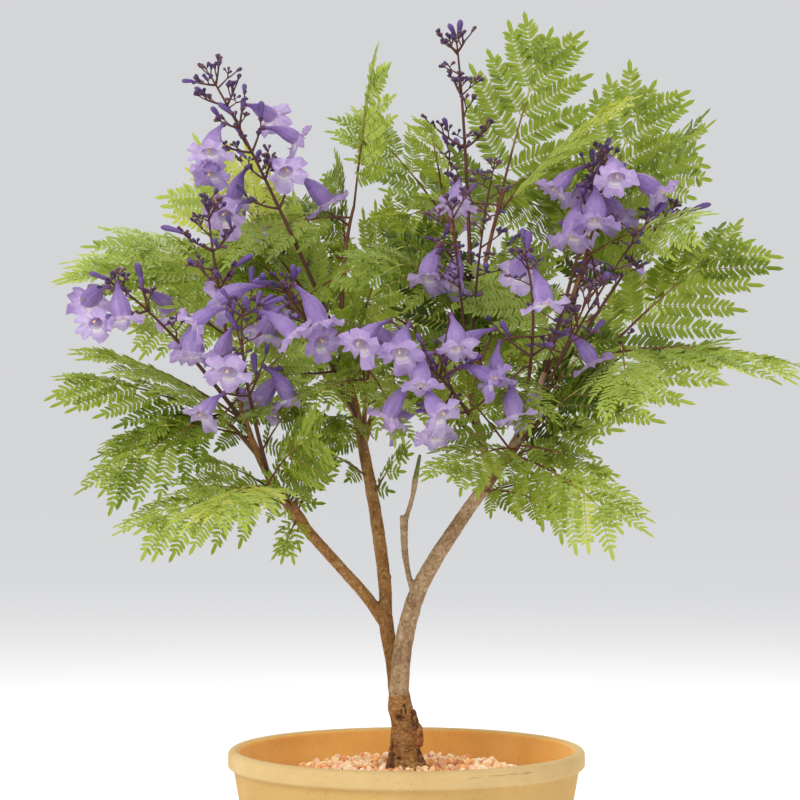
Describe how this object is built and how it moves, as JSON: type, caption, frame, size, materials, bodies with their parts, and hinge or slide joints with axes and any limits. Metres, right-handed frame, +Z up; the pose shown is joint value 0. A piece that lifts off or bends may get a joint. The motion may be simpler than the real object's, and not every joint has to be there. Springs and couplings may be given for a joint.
{
  "type": "potted flowering bonsai tree",
  "caption": "Jacaranda bonsai in a round clay pot: forked trunk, arching boughs, feathery leaves and drooping sprays of violet trumpet flowers over a gravel top.",
  "frame": {"origin": "Middle of the pot's flat underside, at the level that it stands on.", "axes": "+Z up, +X to the right and -Y towards the viewer of the picture."},
  "size_m": [0.4493, 0.3501, 0.6306],
  "materials": {
    "clay": "matte, unglazed buff clay",
    "soil": "matte, moist soil",
    "gravel": "matte pinkish gravel",
    "bark": "rough grey-brown bark",
    "leaf": "satin leaf",
    "blossom": "soft petal"
  },
  "bodies": {
    "root": {"pot": "clay", "soil": "soil", "gravel": "gravel", "trunk": "bark", "right_bough": "bark", "rear_stem": "bark", "middle_bough": "bark", "left_bough": "bark", "centre_branch": "bark", "right_back_bough": "bark", "back_bough": "bark", "back_left_bough": "bark", "cut_shoot": "bark", "left_upper_foliage": "leaf", "left_side_foliage": "leaf", "left_low_foliage": "leaf", "left_top_foliage": "leaf", "middle_top_foliage": "leaf", "top_right_foliage": "leaf", "right_upper_foliage": "leaf", "right_side_foliage": "leaf", "right_low_foliage": "leaf", "centre_left_foliage": "leaf", "centre_right_foliage": "leaf", "back_left_foliage": "leaf", "back_middle_foliage": "leaf", "back_right_foliage": "leaf", "back_low_foliage": "leaf", "left_top_panicle": "blossom", "left_inner_panicle": "blossom", "left_far_panicle": "blossom", "left_front_panicle": "blossom", "left_middle_panicle": "blossom", "centre_front_panicle": "blossom", "top_bud_panicle": "blossom", "right_front_panicle": "blossom", "right_top_panicle": "blossom", "right_bud_panicle": "blossom", "back_left_panicle": "blossom", "back_middle_panicle": "blossom", "back_right_panicle": "blossom"}
  },
  "joints": []
}
